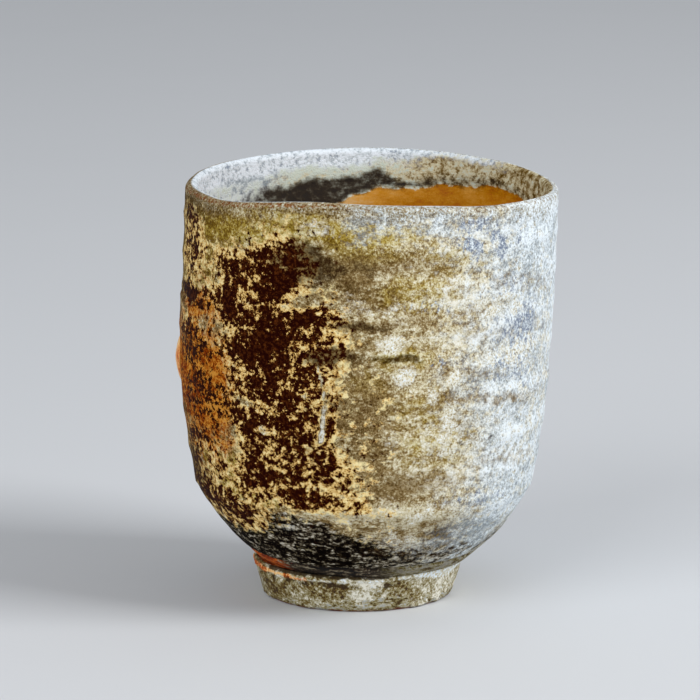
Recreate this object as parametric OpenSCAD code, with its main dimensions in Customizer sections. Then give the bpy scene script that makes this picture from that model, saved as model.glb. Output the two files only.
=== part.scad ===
// Yunomi: a tall wheel-thrown stoneware tea cup on a turned foot ring, with a
// natural ash glaze outside and a liner glaze inside. Millimetres, +Z up.
// The origin is the centre of the foot's resting face, and -Y is the front.

/* [Bowl] */
// Mean height of the rim above the table
height = 87.3; // [75:0.1:110]
// Outer radius at the mouth
mouth_r = 39; // [34:0.1:48]
// Outer radius at the belly
belly_r = 38.6; // [34:0.1:48]
// Height at which the wall stops widening
belly_z = 50; // [40:0.5:60]
// Outer radius at the trimmed shoulder
shoulder_r = 35.3; // [31:0.1:38]
// Height of the trimmed shoulder
shoulder_z = 24; // [20:0.5:30]
// Outer radius where the bowl meets the foot
neck_r = 21.8; // [19:0.1:25]
// How far the underside swells past a straight slope
underside_swell = 1.45; // [0:0.05:2.5]

/* [Wall] */
// Thickness of the wall, coats included
wall_t = 3.6; // [2.6:0.1:5]
// Thickness of the lip, coats included
lip_t = 2.4; // [1.6:0.1:3.4]
// Depth below the rim over which the lip thickens into the wall
lip_taper = 15; // [8:0.5:25]
// Thickness of the floor above the foot, coat included
floor_t = 4.5; // [3:0.1:7]
// Radius of the flat middle of the floor
floor_flat_r = 10; // [6:0.5:14]
// Height above the shoulder at which the inside wall starts to round in
hollow_rise = 8; // [5:0.5:12]

/* [Irregular form] */
// How far the bowl sits to the right of the foot
bowl_shift = 1.4; // [0:0.1:3]
// How far the mouth sits to the right of the foot
mouth_shift = 3.4; // [0:0.1:5]
// Rise of the rim at front and back, and its dip at the sides
rim_wave = 0.85; // [0:0.05:2]
// Rise of the rim on the left, and its drop on the right
rim_tilt = 0.4; // [0:0.05:1.5]

/* [Foot] */
// Height of the foot, from the table to the neck
foot_h = 8; // [6.5:0.1:12]
// Outer radius of the resting face
rest_r = 19.8; // [18:0.1:22]
// Width of the resting face
rest_w = 4.3; // [3:0.1:6]
// Outer radius of the ledge at the top of the foot
ledge_r = 22; // [20.5:0.1:25]
// Depth of the neck groove above the ledge
neck_groove = 0.9; // [0.3:0.1:1.5]
// Height of the rounded ledge's edge
ledge_round = 1; // [0.5:0.1:1.4]
// Depth of the hollow that is turned out under the foot
recess_depth = 5.4; // [4.4:0.1:5.8]
// Slope of the hollow's side, as a change of its radius
recess_draft = 0.8; // [0:0.1:1.5]
// Bevel on both edges of the resting face
rest_bevel = 0.7; // [0.2:0.1:1]

/* [Coats] */
// Thickness of the ash glaze and of the liner glaze
glaze_t = 0.5; // [0.3:0.05:0.8]
// Bare clay left above the neck
bare_rise = 2; // [1:0.1:4]
// How far the ash glaze runs down inside the rim
inside_band = 7; // [5:0.5:20]
// Thickness of the ash crust on the foot
crust_t = 0.35; // [0.2:0.05:0.6]
// Bare clay left under the ash crust on the foot
crust_gap = 1.2; // [0.8:0.1:2]

/* [Wad scar] */
// Radius of the scar that a kiln wad left on the wall
wad_r = 4.8; // [3:0.1:7]
// How far the scar stands out of the glaze
wad_proud = 0.75; // [0.3:0.05:1.2]
// Height of the scar's centre
wad_z = 50; // [30:0.5:70]
// Place of the scar round the cup, in degrees from the front to the right
wad_turn = -93; // [-180:1:180]

/* [Hidden] */

// Facets round the cup, and rows on each stretch of its section
facets = 48;
under_rows = 6;
wall_rows = 14;
lip_rows = 4;
band_rows = 3;
inside_rows = 10;
hollow_rows = 8;
ledge_steps = 4;
$fn = 96;
ball_facets = 360;

// How strongly the wall flattens out towards the belly
belly_power = 1.5;

lip_r = lip_t / 2;
lip_z = height - lip_r;
band_z = height - inside_band;
hollow_z = shoulder_z + hollow_rise;
floor_z = foot_h + floor_t;
bare_z = foot_h + bare_rise;
recess_r = rest_r - rest_w;
wad_depth = 2 * wad_proud;
ledge_z = foot_h - ledge_round;
neck_top_r = ledge_r - neck_groove;

// Share of the way from a to b at which v lies, held between 0 and 1
function share(v, a, b) = max(0, min(1, (v - a) / (b - a)));

// Outer radius of the finished cup at height z
function underside_r(s) = neck_r + (shoulder_r - neck_r) * s + 4 * underside_swell * s * (1 - s);
function wall_r(s) = shoulder_r + (belly_r - shoulder_r) * (1 - pow(1 - s, belly_power));
function outer_r(z) =
    z < shoulder_z ? underside_r(share(z, foot_h, shoulder_z))
    : wall_r(share(z, shoulder_z, belly_z)) + (mouth_r - belly_r) * share(z, belly_z, lip_z);

// Inner radius of the finished cup at height z, above the rounded hollow
function inner_r(z) = outer_r(z) - lip_t - (wall_t - lip_t) * share(lip_z - z, 0, lip_taper);

// Sideways place of the section at height z, and how far the rim's wave reaches it
function shift_at(z) = bowl_shift + (mouth_shift - bowl_shift) * share(z, belly_z, height);
function wave_share(z) = pow(share(z, shoulder_z, height), 2);
function wave_at(z, turn) = wave_share(z) * (rim_wave * cos(2 * turn) - rim_tilt * sin(turn));

// A section point [radius, height], turned round the cup from the front to the right
function turned(p, turn) = [
    shift_at(p.y) + p.x * sin(turn),
    -p.x * cos(turn),
    p.y + wave_at(p.y, turn)
];

// The finished section, from the neck up the outside, over the lip and down the inside
bare_part = [[outer_r(foot_h), foot_h]];
under_part = [
    for (i = [0 : under_rows - 1])
        let (z = bare_z + (shoulder_z - bare_z) * i / under_rows) [outer_r(z), z]
];
wall_part = [
    for (i = [0 : wall_rows])
        let (z = shoulder_z + (lip_z - shoulder_z) * i / wall_rows) [outer_r(z), z]
];
lip_part = [
    for (i = [1 : lip_rows - 1])
        let (turn = 180 * i / lip_rows) [mouth_r - lip_r + lip_r * cos(turn), lip_z + lip_r * sin(turn)]
];
band_part = [
    for (i = [0 : band_rows - 1])
        let (z = lip_z + (band_z - lip_z) * i / band_rows) [inner_r(z), z]
];
inside_part = [
    for (i = [0 : inside_rows - 1])
        let (z = band_z + (hollow_z - band_z) * i / inside_rows) [inner_r(z), z]
];
hollow_part = [
    for (i = [0 : hollow_rows])
        let (turn = 90 * i / hollow_rows)
            [floor_flat_r + (inner_r(hollow_z) - floor_flat_r) * cos(turn),
             hollow_z - (hollow_z - floor_z) * sin(turn)]
];
finished = concat(bare_part, under_part, wall_part, lip_part, band_part, inside_part, hollow_part);
last = len(finished) - 1;
first_glazed = len(bare_part);
first_liner = last - len(hollow_part) - len(inside_part) + 1;

// The clay under the coats: the finished section, set back square to itself
function along(i) = finished[i + 1] - finished[i - 1];
function outward(i) = i == last ? [0, 1] : let (d = along(i)) [d.y, -d.x] / norm(d);
function clay_point(i) = i < first_glazed ? finished[i] : finished[i] - glaze_t * outward(i);
clay = [for (i = [0 : last]) clay_point(i)];

// One node made of rows of points: a closed loop of rows, or a shell with flat end caps
module lathe(rows, looped) {
    count = len(rows);
    points = [for (i = [0 : count - 1], j = [0 : facets - 1]) turned(rows[i], 360 * j / facets)];
    function at(i, j) = (i % count) * facets + j % facets;
    sides = [
        for (i = [0 : looped ? count - 1 : count - 2], j = [0 : facets - 1])
            each [[at(i, j), at(i + 1, j + 1), at(i, j + 1)], [at(i, j), at(i + 1, j), at(i + 1, j + 1)]]
    ];
    caps = looped ? [] : [
        [for (j = [0 : facets - 1]) at(0, j)],
        [for (j = [1 : facets]) at(count - 1, facets - j)]
    ];
    polyhedron(points, concat(sides, caps));
}

// The thrown clay: underside, wall, lip and floor
module cup_body() {
    color("saddlebrown") lathe(clay, false);
}

// The ash glaze: outside, over the lip and a band down the inside
module ash_glaze() {
    over = [for (i = [first_glazed : first_liner]) finished[i]];
    under = [for (i = [0 : first_liner - first_glazed]) clay[first_liner - i]];
    color("darkkhaki") lathe(concat(over, under), true);
}

// The liner glaze: the inside below the ash glaze, and the floor
module liner_glaze() {
    under = [for (i = [0 : last - first_liner]) clay[last - i]];
    over = [for (i = [first_liner : last]) finished[i]];
    color("peru") lathe(concat(under, over), false);
}

// Outer radius of the foot's flared side at height z
function foot_side_r(z) = rest_r + (ledge_r - rest_r) * z / ledge_z;

// The rounded edge of the ledge, from its widest point in to the neck groove
function ledge_edge(inset) = [
    for (i = [0 : ledge_steps])
        let (turn = 90 * i / ledge_steps)
            [neck_top_r - inset + (ledge_r - neck_top_r) * cos(turn), ledge_z + ledge_round * sin(turn)]
];

// The turned foot ring, with its hollow underneath
module foot_ring() {
    color("sienna") rotate_extrude() polygon(concat(
        [[0, foot_h], [0, recess_depth]],
        [[recess_r - recess_draft, recess_depth], [recess_r, rest_bevel]],
        [[recess_r + rest_bevel, 0], [rest_r - rest_bevel, 0]],
        [[foot_side_r(rest_bevel), rest_bevel], [foot_side_r(crust_gap), crust_gap]],
        [[foot_side_r(crust_gap) - crust_t, crust_gap]],
        ledge_edge(crust_t)
    ));
}

// The crust of ash on the foot's flared side and over its ledge
module foot_crust() {
    inner = ledge_edge(crust_t);
    outer = ledge_edge(0);
    color("olive") rotate_extrude() polygon(concat(
        [[foot_side_r(crust_gap) - crust_t, crust_gap], [foot_side_r(crust_gap), crust_gap]],
        outer,
        [for (i = [0 : ledge_steps]) inner[ledge_steps - i]]
    ));
}

// The scar of a kiln wad: a low lens of fused clay that follows the wall it sits on
module wad_scar() {
    ball_r = (pow(wad_r, 2) + pow(wad_proud, 2)) / (2 * wad_proud);
    outside = concat(bare_part, under_part, wall_part);
    middle = turned([outer_r(wad_z), wad_z], wad_turn);
    rise = turned([outer_r(wad_z + wad_r), wad_z + wad_r], wad_turn) - middle;
    lean = atan2(rise * [sin(wad_turn), -cos(wad_turn), 0], rise.z);
    color("sandybrown") difference() {
        translate(middle) rotate([90 + lean, 0, wad_turn]) intersection() {
            translate([0, 0, wad_proud - ball_r]) sphere(ball_r, $fn = ball_facets);
            translate([-ball_r, -ball_r, -wad_depth]) cube([2 * ball_r, 2 * ball_r, 2 * wad_depth]);
        }
        lathe(outside, false);
    }
}

cup_body();
foot_ring();
ash_glaze();
liner_glaze();
foot_crust();
wad_scar();
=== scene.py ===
"""Yunomi tea cup: the fired surfaces of a wheel-thrown stoneware cup, laid round the CAD model.

Every piece is a grid of rings that follows the CAD model's section. The same rules (throwing
rings, turning marks, stones, pits, the fire's marks) shape the grid and paint it. In the functions,
s is the scene's sizes and c its colours, and r, z and turn are a point's radius, height and turn.
"""

import math

import bpy
import numpy as np
from bpy.props import FloatProperty, FloatVectorProperty, IntProperty, PointerProperty
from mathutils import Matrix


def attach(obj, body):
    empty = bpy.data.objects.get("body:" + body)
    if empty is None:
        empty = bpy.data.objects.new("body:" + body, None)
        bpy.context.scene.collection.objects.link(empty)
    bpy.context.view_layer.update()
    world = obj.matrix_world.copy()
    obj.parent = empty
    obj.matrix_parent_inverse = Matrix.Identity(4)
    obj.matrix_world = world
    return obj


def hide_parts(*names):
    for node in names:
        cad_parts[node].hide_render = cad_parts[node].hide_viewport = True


bl_info = {
    "name": "Yunomi tea cup",
    "version": (1, 0, 0),
    "blender": (4, 5, 0),
    "location": "View3D > Sidebar > Tea cup",
    "description": "Builds the clay, ash glaze, liner, foot and scar of a wood-fired tea cup",
    "category": "Object",
}

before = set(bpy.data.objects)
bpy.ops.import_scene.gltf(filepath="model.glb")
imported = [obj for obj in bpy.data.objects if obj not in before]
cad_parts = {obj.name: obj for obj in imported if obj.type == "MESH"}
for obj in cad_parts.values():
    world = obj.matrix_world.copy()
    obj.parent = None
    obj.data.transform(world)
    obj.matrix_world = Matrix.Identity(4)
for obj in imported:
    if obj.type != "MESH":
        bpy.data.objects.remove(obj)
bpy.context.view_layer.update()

MM = 0.001
BODY = "root"

# The middle of the left side, which the fire hit hardest, in degrees from the front to the right
FIRE_SIDE = -88

# A grid closes over the middle of the floor or foot with a small flat disc of this radius
CENTRE_R = 0.4 * MM


def linear(code):
    """An sRGB hex colour as linear red, green and blue."""
    parts = [int(code[i : i + 2], 16) / 255 for i in (1, 3, 5)]
    return [p / 12.92 if p <= 0.04045 else ((p + 0.055) / 1.055) ** 2.4 for p in parts]


def length(name, description, default, low=0.0):
    """A size in metres."""
    return FloatProperty(name=name, description=description, default=default, min=low, unit="LENGTH")


def colour(name, description, code):
    """A colour that starts from an sRGB hex value."""
    return FloatVectorProperty(
        name=name, description=description, default=linear(code), subtype="COLOR", min=0, max=1
    )


# Sizes and colours


class CupSizes(bpy.types.PropertyGroup):
    """The CAD model's section, and the relief that the maker and the kiln left on it"""

    height: length("Height", "Mean height of the rim", 87.3 * MM)
    mouth_r: length("Mouth radius", "Outer radius at the mouth", 39 * MM)
    belly_r: length("Belly radius", "Outer radius at the belly", 38.6 * MM)
    belly_z: length("Belly height", "Height at which the wall stops widening", 50 * MM)
    shoulder_r: length("Shoulder radius", "Outer radius at the trimmed shoulder", 35.3 * MM)
    shoulder_z: length("Shoulder height", "Height of the trimmed shoulder", 24 * MM)
    neck_r: length("Neck radius", "Outer radius where the bowl meets the foot", 21.8 * MM)
    underside_swell: length("Underside swell", "Swell of the underside past a straight slope", 1.45 * MM)
    wall_t: length("Wall", "Thickness of the wall", 3.6 * MM)
    lip_t: length("Lip", "Thickness of the lip", 2.4 * MM)
    lip_taper: length("Lip taper", "Depth over which the lip thickens into the wall", 15 * MM)
    floor_t: length("Floor", "Thickness of the floor above the foot", 4.5 * MM)
    floor_flat_r: length("Flat floor radius", "Radius of the flat middle of the floor", 10 * MM)
    hollow_rise: length("Hollow rise", "Height above the shoulder where the inside rounds in", 8 * MM)
    bowl_shift: length("Bowl shift", "How far the bowl sits to the right of the foot", 1.4 * MM)
    mouth_shift: length("Mouth shift", "How far the mouth sits to the right of the foot", 3.4 * MM)
    rim_wave: length("Rim wave", "Rise of the rim at front and back", 0.85 * MM)
    rim_tilt: length("Rim tilt", "Rise of the rim on the left", 0.4 * MM)
    foot_h: length("Foot height", "Height of the foot up to the neck", 8 * MM)
    rest_r: length("Rest radius", "Outer radius of the resting face", 19.8 * MM)
    rest_w: length("Rest width", "Width of the resting face", 4.3 * MM)
    ledge_r: length("Ledge radius", "Outer radius of the foot's ledge", 22 * MM)
    neck_groove: length("Neck groove", "Depth of the groove above the ledge", 0.9 * MM)
    ledge_round: length("Ledge round", "Height of the ledge's rounded edge", 1 * MM)
    recess_depth: length("Foot hollow", "Depth of the hollow under the foot", 5.4 * MM)
    recess_draft: length("Hollow draft", "Slope of the foot hollow's side", 0.8 * MM)
    rest_bevel: length("Rest bevel", "Bevel on the resting face's edges", 0.7 * MM)
    glaze_t: length("Glaze", "Thickness of the glazes", 0.5 * MM)
    bare_rise: length("Bare clay", "Bare clay left above the neck", 2 * MM)
    inside_band: length("Inside band", "Depth of the ash glaze inside the rim", 7 * MM)
    overlap: length("Overlap", "How far the inner glazes run under each other", 1.5 * MM)
    crust_t: length("Crust", "Thickness of the ash crust on the foot", 0.35 * MM)
    crust_gap: length("Crust gap", "Bare clay left under the foot's crust", 1.2 * MM)
    wad_r: length("Scar radius", "Radius of the wad scar", 4.8 * MM)
    wad_proud: length("Scar height", "How far the wad scar stands out", 0.75 * MM)
    wad_z: length("Scar place", "Height of the wad scar's centre", 50 * MM)
    wad_turn: FloatProperty(name="Scar turn", description="Degrees round the cup to the scar", default=-93)
    ring_pitch: length("Ring pitch", "Distance between throwing rings", 8 * MM)
    ring_relief: length("Ring relief", "Height of the throwing rings", 0.2 * MM)
    lump_relief: length("Lump relief", "Height of the wall's slow unevenness", 0.16 * MM)
    grain_relief: length("Grain relief", "Height of the coarse sand under the glaze", 0.035 * MM)
    streak_relief: length("Streak relief", "Height of the turning streaks", 0.09 * MM)
    trim_step: length("Trim step", "Step where the turning tool met the thrown wall", 0.2 * MM)
    ledge_relief: length("Left ledge", "Height of the throwing ledge on the left", 0.45 * MM)
    scratch_relief: length("Scratch relief", "Depth of the scratch and height of its run", 0.3 * MM)
    glaze_run: length("Glaze run", "Distance over which the ash glaze thickens from its edge", 2.5 * MM)
    foot_wear: length("Foot wear", "Unevenness of the foot's turned side", 0.12 * MM)
    crust_relief: length("Crust relief", "Height of the crust's lumps", 0.16 * MM)
    crust_groove: length("Crust groove", "Depth of the line under the ledge", 0.22 * MM)
    crumb_relief: length("Crumb relief", "Height of the crumbs on the ledge", 0.12 * MM)
    heap_rise: length("Heap rise", "Height of the ash heaped on the ledge", 0.7 * MM)
    heap_out: length("Heap out", "How far the heaped ash stands out", 0.3 * MM)
    wad_sunk: length("Scar depth", "How deep the back of the wad scar lies in the clay", 1.2 * MM)
    wad_lift: length("Scar lift", "How far the edge of the wad scar stands out", 0.1 * MM)
    grid: length("Grid", "Spacing of the rings of each piece", 0.55 * MM, 0.2 * MM)
    facets: IntProperty(name="Facets", description="Points in each ring", default=520, min=48)


class CupColours(bpy.types.PropertyGroup):
    """The colours of the fired clay and of the ash that landed on it"""

    scorch_black: colour("Scorch black", "Deep chocolate black of the scorch", "#200401")
    scorch_brown: colour("Scorch brown", "Brown rim round each speckle", "#5a2c0c")
    # Also the colour of the painted shade along the throwing rings and round the foot's ledge
    soot_and_shade_brown: colour("Smoke brown", "Soot that the glaze closed over", "#33240f")
    speckle_buff: colour("Speckle buff", "Thin ash on the scorch", "#a0702e")
    speckle_cream: colour("Speckle cream", "Thick ash on the scorch", "#d9b36a")
    speckle_pale: colour("Speckle pale", "Thickest ash on the scorch", "#f2e0a6")
    ash_shadow: colour("Ash shadow", "Darkest dry ash", "#43300f")
    ash_brown: colour("Ash brown", "Thin dry ash", "#725a34")
    ash_khaki: colour("Ash khaki", "Usual dry ash", "#97835a")
    ash_cream: colour("Ash cream", "Pale dry ash", "#d2c8a6")
    ash_white: colour("Ash white", "Whitest dry ash", "#ebe8da")
    olive_deep: colour("Olive deep", "Melted ash, thick", "#64490f")
    olive_mid: colour("Olive mid", "Melted ash", "#aa913c")
    olive_pale: colour("Olive pale", "Melted ash, thin", "#d6cc98")
    cool_grey: colour("Cool grey", "Blue-grey fly ash", "#8f999f")
    cool_deep: colour("Cool deep", "Dark blue-grey pools in the fly ash", "#6d778b")
    cool_blue: colour("Cool blue", "Blue-grey edges where the ash crawled", "#8e98a8")
    cool_pale: colour("Cool pale", "Pale fly ash", "#c5ced3")
    ice_white: colour("Ice white", "Sky-white ash inside the rim", "#e6eef6")
    ice_green: colour("Ice green", "Pale green-white ash inside the rim", "#c9d2c6")
    cool_white: colour("Cool white", "White crystalline ash", "#ecf5fb")
    flash_deep: colour("Flash deep", "Deepest rust of the flashing", "#6b2402")
    flash_rust: colour("Flash rust", "Rust of the flashing", "#853a05")
    flash_orange: colour("Flash orange", "Orange of the flashing", "#a2560b")
    flash_peach: colour("Flash peach", "Palest flashing", "#c98a36")
    char_black: colour("Char black", "Carbon trapped under the glaze", "#060201")
    smut: colour("Smut", "Charred ash of the seam inside", "#2b2622")
    char_brown: colour("Char brown", "Thin carbon over clay", "#1c130b")
    char_grey: colour("Char grey", "Grey drag marks of the turning tool", "#493f30")
    char_pale: colour("Char pale", "Ash rubbed over the carbon", "#8c836d")
    char_white: colour("Char white", "Ash caught on the turning marks", "#d2cdbf")
    liner_tan: colour("Liner tan", "Thin liner glaze", "#d0963f")
    liner_amber: colour("Liner amber", "Usual liner glaze", "#b8780c")
    liner_orange: colour("Liner orange", "Flashed liner glaze", "#a2560a")
    liner_pool: colour("Liner pool", "Liner glaze pooled in the floor", "#7a4c16")
    crust_olive: colour("Crust olive", "Ash crust on the foot", "#8b8052")
    crust_grey: colour("Crust grey", "Dusty ash crust on the foot", "#b3ab90")
    clay_orange: colour("Clay orange", "Flashed clay at the foot", "#d0691c")
    clay_red: colour("Clay red", "Bare clay where the flame licked it", "#8e3202")
    clay_brown: colour("Clay brown", "Bare stoneware", "#3e2e1e")
    wad_peach: colour("Wad peach", "Toasted wad clay", "#e9a55c")
    wad_pale: colour("Wad pale", "Palest wad clay", "#f3c886")
    floor: colour("Floor", "The plain floor", "#d5d8dc")


# Geometry helpers


def smooth(v, a, b):
    """0 before a and 1 after b, with soft ends. It falls where a is past b."""
    t = np.clip((v - a) / (b - a), 0, 1)
    return t * t * (3 - 2 * t)


def within(v, low, high, soft):
    """1 between low and high, falling to 0 over soft on both sides."""
    return smooth(v, low - soft, low) * smooth(v, high + soft, high)


def share(v, a, b):
    """How far v is from a to b, held between 0 and 1."""
    return np.clip((v - a) / (b - a), 0, 1)


def hump(v, width, power=2):
    """1 where v is 0, falling to nothing a little past width on both sides."""
    return np.exp(-((v / width) ** power))


def turned_away(turn, centre):
    """Degrees from centre round to turn, between -180 and 180."""
    return (turn - centre + 180) % 360 - 180


def facing(turn, centre, past, near):
    """1 within near degrees of centre, round the cup, and 0 beyond past degrees."""
    return smooth(np.abs(turned_away(turn, centre)), past, near)


def lattice(points, seed):
    """Smooth noise between -1 and 1 with one cell a unit."""
    table = np.random.RandomState(seed).uniform(-1, 1, 4096)
    cell = np.floor(points).astype(np.int64)
    f = points - cell
    f = f * f * (3 - 2 * f)
    total = np.zeros(points.shape[:-1])
    for corner in range(8):
        bits = np.array([corner & 1, corner >> 1 & 1, corner >> 2 & 1])
        at = cell + bits
        key = (at[..., 0] * 73856093 ^ at[..., 1] * 19349663 ^ at[..., 2] * 83492791) & 4095
        total += table[key] * np.prod(np.where(bits == 1, f, 1 - f), axis=-1)
    return total


def clouds(points, size, octaves, seed):
    """Layered noise whose largest blobs are about size across."""
    total = np.zeros(points.shape[:-1])
    for k in range(octaves):
        total += lattice(points / size * 2**k + 17 * k, seed + k) / 2**k
    return total


def respaced(points, spacing):
    """The same line with points spaced evenly along it."""
    points = np.array(points)
    run = np.concatenate([[0], np.cumsum(np.hypot(*np.diff(points, axis=0).T))])
    at = np.linspace(0, run[-1], max(2, round(run[-1] / spacing) + 1))
    return np.stack([np.interp(at, run, points[:, k]) for k in (0, 1)], axis=1)


def outward(path):
    """Unit normals of a section line, to the right of its direction."""
    along = np.gradient(path, axis=0)
    along /= np.linalg.norm(along, axis=1, keepdims=True)
    return np.stack([along[:, 1], -along[:, 0]], axis=1)


# The section, as the CAD model has it


def outer_r(s, z):
    """Outer radius of the finished cup at height z."""
    low = share(z, s.foot_h, s.shoulder_z)
    under = s.neck_r + (s.shoulder_r - s.neck_r) * low + 4 * s.underside_swell * low * (1 - low)
    rise = share(z, s.shoulder_z, s.belly_z)
    wall = s.shoulder_r + (s.belly_r - s.shoulder_r) * (1 - (1 - rise) ** 1.5)
    wall = wall + (s.mouth_r - s.belly_r) * share(z, s.belly_z, s.height - s.lip_t / 2)
    return np.where(z < s.shoulder_z, under, wall)


def inner_r(s, z):
    """Inner radius of the finished cup at height z, above the rounded hollow."""
    lip_z = s.height - s.lip_t / 2
    return outer_r(s, z) - s.lip_t - (s.wall_t - s.lip_t) * share(lip_z - z, 0, s.lip_taper)


def outside_path(s):
    """From the edge of the bare clay up the outside to the lip."""
    z = np.linspace(s.foot_h + s.bare_rise, s.height - s.lip_t / 2, 400)
    return respaced(np.stack([outer_r(s, z), z], axis=1), s.grid)


def lip_path(s):
    """Over the lip, without its two ends."""
    half = s.lip_t / 2
    turn = np.linspace(0, math.pi, 10)[1:-1]
    around = half * np.stack([np.cos(turn), np.sin(turn)], axis=1)
    return [s.mouth_r - half, s.height - half] + around


def band_path(s, overlap):
    """From the lip down the inside to the end of the ash glaze, which tucks into the liner."""
    z = np.linspace(s.height - s.lip_t / 2, s.height - s.inside_band - overlap, 60)
    tuck = 0.1 * overlap * share(z, z[-1] + 2 * overlap + MM, z[-1])
    return respaced(np.stack([inner_r(s, z) + tuck, z], axis=1), s.grid)


def liner_path(s, overlap):
    """From the end of the ash glaze, which it tucks under, down to the middle of the floor."""
    top = s.height - s.inside_band + overlap
    hollow_z = s.shoulder_z + s.hollow_rise
    floor_z = s.foot_h + s.floor_t
    z = np.linspace(top, hollow_z, 200)
    tuck = 0.1 * overlap * share(z, top - 2 * overlap - MM, top)
    wall = np.stack([inner_r(s, z) + tuck, z], axis=1)
    turn = np.linspace(0, math.pi / 2, 60)[1:]
    reach = float(inner_r(s, hollow_z)) - s.floor_flat_r
    fall = hollow_z - floor_z
    curve = np.stack([s.floor_flat_r + reach * np.cos(turn), hollow_z - fall * np.sin(turn)], axis=1)
    middle = np.array([[CENTRE_R, floor_z]])
    return respaced(np.concatenate([wall, curve, middle]), 1.6 * s.grid)


def shift_at(s, z):
    """Sideways place of the section at height z."""
    return s.bowl_shift + (s.mouth_shift - s.bowl_shift) * share(z, s.belly_z, s.height)


# How the lip departs from the CAD model's wave, as (turn, rise, reach in degrees), and where the
# upper wall was pressed in by hand
LIP_DIPS = [(-18, 0.5 * MM, 14), (-52, -0.65 * MM, 14), (34, -0.4 * MM, 14), (-115, 0.35 * MM, 20)]
PRESS_TURN, PRESS_DEPTH, PRESS_REACH = 92, 0.8 * MM, 40


def turned(s, radius, z, turn):
    """Points of the cup from radius, height and turn, with the bowl's lean and the rim's wave."""
    angle = np.radians(turn)
    reach = share(z, s.shoulder_z, s.height) ** 2
    rise = reach * (s.rim_wave * np.cos(2 * angle) - s.rim_tilt * np.sin(angle))
    for centre, height, spread in LIP_DIPS:
        rise = rise + reach**3 * height * hump(turned_away(turn, centre), spread)
    radius = radius - PRESS_DEPTH * reach**2 * hump(turned_away(turn, PRESS_TURN), PRESS_REACH)
    x = shift_at(s, z) + radius * np.sin(angle)
    return np.stack([x, -radius * np.cos(angle), z + rise], axis=-1)


# The wall's marks, each as (turn in degrees, height, radius, relief), the last three in millimetres

STONES = [
    (-38, 62, 1.3, 0.25), (-3.5, 72, 1.5, 0.2), (5.5, 58.8, 2.4, 0.2), (9.5, 52.7, 1.6, 0.2),
    (29, 52, 1.4, 0.25), (-33, 41, 1.2, 0.35), (-18, 49, 1.2, 0.2), (7, 41.5, 1.3, 0.2),
    (26, 82.5, 0.7, 0.25), (29, 37, 1.4, 0.15), (-25, 19, 1.6, 0.15), (-64, 32, 1.5, 0.2),
    (118, 66, 1.6, 0.25), (152, 44, 2.0, 0.25), (-140, 58, 1.5, 0.25), (-165, 33, 1.3, 0.2),
]
PITS = [
    (43, 38, 0.55, -0.35), (30, 37, 0.45, -0.3), (10, 52.4, 0.4, -0.25), (-14, 82, 0.8, -0.3),
    (-2.6, 72.2, 0.4, -0.25), (7.5, 41.2, 0.35, -0.25), (137, 57, 0.6, -0.35),
    (-118, 44, 0.5, -0.3),
]


def spot(s, turn, z, mark):
    """1 in the middle of a round mark and 0 past its edge."""
    centre, height, radius, _ = mark
    across = np.radians(turned_away(turn, centre)) * s.belly_r
    return hump(np.hypot(across, z - height * MM), radius * MM)


def scratch(s, turn, z):
    """The curved tool mark beside the scorch: how far each point is to its right, and the share of
    the thin cut and of the run of ash below it at that height."""
    centre = -12.2 - 3.2 * share(z, 47 * MM, 57 * MM) ** 1.6 - 1.3 * share(z, 46 * MM, 40 * MM)
    across = np.radians(turned_away(turn, centre)) * s.belly_r
    return across, within(z, 48 * MM, 56.5 * MM, 1 * MM), within(z, 40 * MM, 46.5 * MM, 1 * MM)


def trim_height(turn):
    """Height of the line where the turning tool met the thrown wall."""
    return (23.2 + 1.1 * np.cos(np.radians(2 * (turn + 50))) + 0.5 * np.cos(np.radians(5 * turn))) * MM


def outside_relief(s, turn, z, points):
    """How far the glazed wall stands out of the CAD model's section."""
    wander = clouds(points, 30 * MM, 2, 3)
    phase = z / s.ring_pitch + turn / 360 + 0.25 * wander
    strength = 0.7 + 0.6 * clouds(points, 22 * MM, 2, 5)
    on_wall = within(z, 29 * MM, 80 * MM, 5 * MM)
    relief = s.ring_relief * strength * on_wall * (1 - 2 * np.abs(np.sin(math.pi * phase)) ** 0.8)
    relief += s.lump_relief * clouds(points, 15 * MM, 3, 11) * smooth(z, 10 * MM, 16 * MM)
    relief += s.grain_relief * clouds(points, 1.7 * MM, 2, 23)
    streaks = points / np.array([9 * MM, 9 * MM, 0.9 * MM])
    under = smooth(z, trim_height(turn) + 0.4 * MM, trim_height(turn) - 0.4 * MM)
    relief += under * (s.streak_relief * lattice(streaks, 37) - s.trim_step * smooth(z, 12 * MM, 22 * MM))
    ledge = smooth(z, 64.6 * MM, 63.6 * MM) * smooth(z, 50 * MM, 62 * MM)
    relief += s.ledge_relief * ledge * facing(turn, FIRE_SIDE, 34, 18)
    for mark in STONES + PITS:
        relief += mark[3] * MM * spot(s, turn, z, mark)
    across, cut, run = scratch(s, turn, z)
    relief += s.scratch_relief * run * hump(across, 0.5 * MM)
    relief -= 0.5 * s.scratch_relief * run * hump(across - 1.2 * MM, 0.5 * MM)
    relief -= s.scratch_relief * cut * hump(across + 0.5 * MM, 0.4 * MM)
    return relief


def inside_relief(s, turn, z, points):
    """How far the inner wall stands out of the CAD model's section."""
    rings = np.sin(2 * np.pi * (z / (6 * MM) + turn / 360)) * smooth(z, 16 * MM, 24 * MM)
    return 0.6 * s.lump_relief * clouds(points, 11 * MM, 3, 71) + 0.06 * MM * rings


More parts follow.
